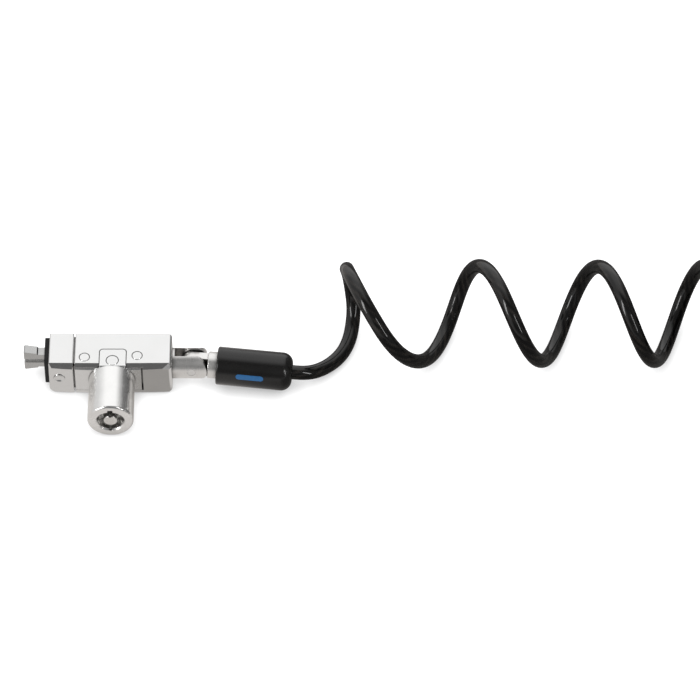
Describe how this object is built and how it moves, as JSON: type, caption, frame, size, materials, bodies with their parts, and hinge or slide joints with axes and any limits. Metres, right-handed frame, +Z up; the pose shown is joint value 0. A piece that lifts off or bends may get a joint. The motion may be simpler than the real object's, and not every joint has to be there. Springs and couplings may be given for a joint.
{
  "type": "laptop cable lock",
  "caption": "Keyed laptop cable lock: square nickel head with side key barrel, spreading slot jaws, swivel yoke and coiled black cable with an end loop.",
  "frame": {"origin": "front face of the rubber seat pad, on the long axis of the lock body; the seat mount is there", "axes": "+X along the body from the locking tip to the cable, +Z up with the lock lying on its side, -Y along the key barrel towards its face"},
  "size_m": [0.385, 0.0504, 0.0335],
  "materials": {
    "nickel": "polished nickel plate",
    "satin_nickel": "satin nickel plate",
    "jaw_steel": "ground hardened steel",
    "plug_steel": "turned steel",
    "steel_pin": "ground steel",
    "spring_steel": "spring steel",
    "brass": "turned brass",
    "brushed_steel": "brushed along the axis",
    "rubber_pad": "matt black rubber",
    "sleeve_plastic": "black vinyl, semi gloss",
    "cable_pvc": "smoky black vinyl over steel strands, gloss"
  },
  "bodies": {
    "cable": {"cable_ferrule": "brushed_steel", "cable_sleeve": "sleeve_plastic", "cable_lead": "cable_pvc", "cable_coil_open": "cable_pvc", "cable_coil_closed": "cable_pvc", "cable_tail": "cable_pvc", "cable_end_loop": "cable_pvc", "loop_ferrule": "brushed_steel", "loop_sleeve": "sleeve_plastic"},
    "yoke": {"swivel_yoke": "brushed_steel", "yoke_pin": "steel_pin", "yoke_retaining_clip": "spring_steel"},
    "head": {"main_body": "nickel", "barrel_housing": "satin_nickel", "nose_block": "nickel", "seat_pad": "rubber_pad", "jaw_pivot_pin": "steel_pin", "nose_dowels": "steel_pin", "housing_pins": "nickel", "cylinder_pin": "nickel", "rear_cylinder": "brass", "driver_pins": "brass", "tumbler_springs": "spring_steel"},
    "key_plug": {"key_plug": "plug_steel", "key_pins": "brass", "cam_disc": "jaw_steel", "cam_screw": "steel_pin"},
    "slider": {"drive_slider": "jaw_steel", "follower_pin": "steel_pin"},
    "upper_jaw": {"upper_jaw": "jaw_steel"},
    "lower_jaw": {"lower_jaw": "jaw_steel"}
  },
  "joints": [
    {"name": "yoke_swing", "type": "hinge", "parent": "cable", "child": "yoke", "pos_m": [0.0444, 0, 0], "axis": [0, 0.9781, -0.2079], "range_deg": [-75, 75]},
    {"name": "head_swivel", "type": "hinge", "parent": "yoke", "child": "head", "pos_m": [0.0385, 0, 0], "axis": [-1, 0, 0], "continuous": true},
    {"name": "key_turn", "type": "hinge", "parent": "head", "child": "key_plug", "pos_m": [0.0204, 0, 0], "axis": [0, 1, 0], "range_deg": [0, 90]},
    {"name": "slider_travel", "type": "slide", "parent": "head", "child": "slider", "axis": [1, 0, 0], "range_m": [0, 0.0016]},
    {"name": "upper_jaw_pivot", "type": "hinge", "parent": "head", "child": "upper_jaw", "pos_m": [0.0045, 0.002, 0.0004], "axis": [0, -1, 0], "range_deg": [0, 3.3]},
    {"name": "lower_jaw_pivot", "type": "hinge", "parent": "head", "child": "lower_jaw", "pos_m": [0.0045, 0.002, 0.0004], "axis": [0, 1, 0], "range_deg": [0, 3.3]}
  ],
  "couplings": [
    {"joint": "key_turn", "follows": "slider_travel", "rad_per_m": 981.75},
    {"joint": "upper_jaw_pivot", "follows": "slider_travel", "rad_per_m": 35.997},
    {"joint": "lower_jaw_pivot", "follows": "slider_travel", "rad_per_m": 35.997}
  ]
}
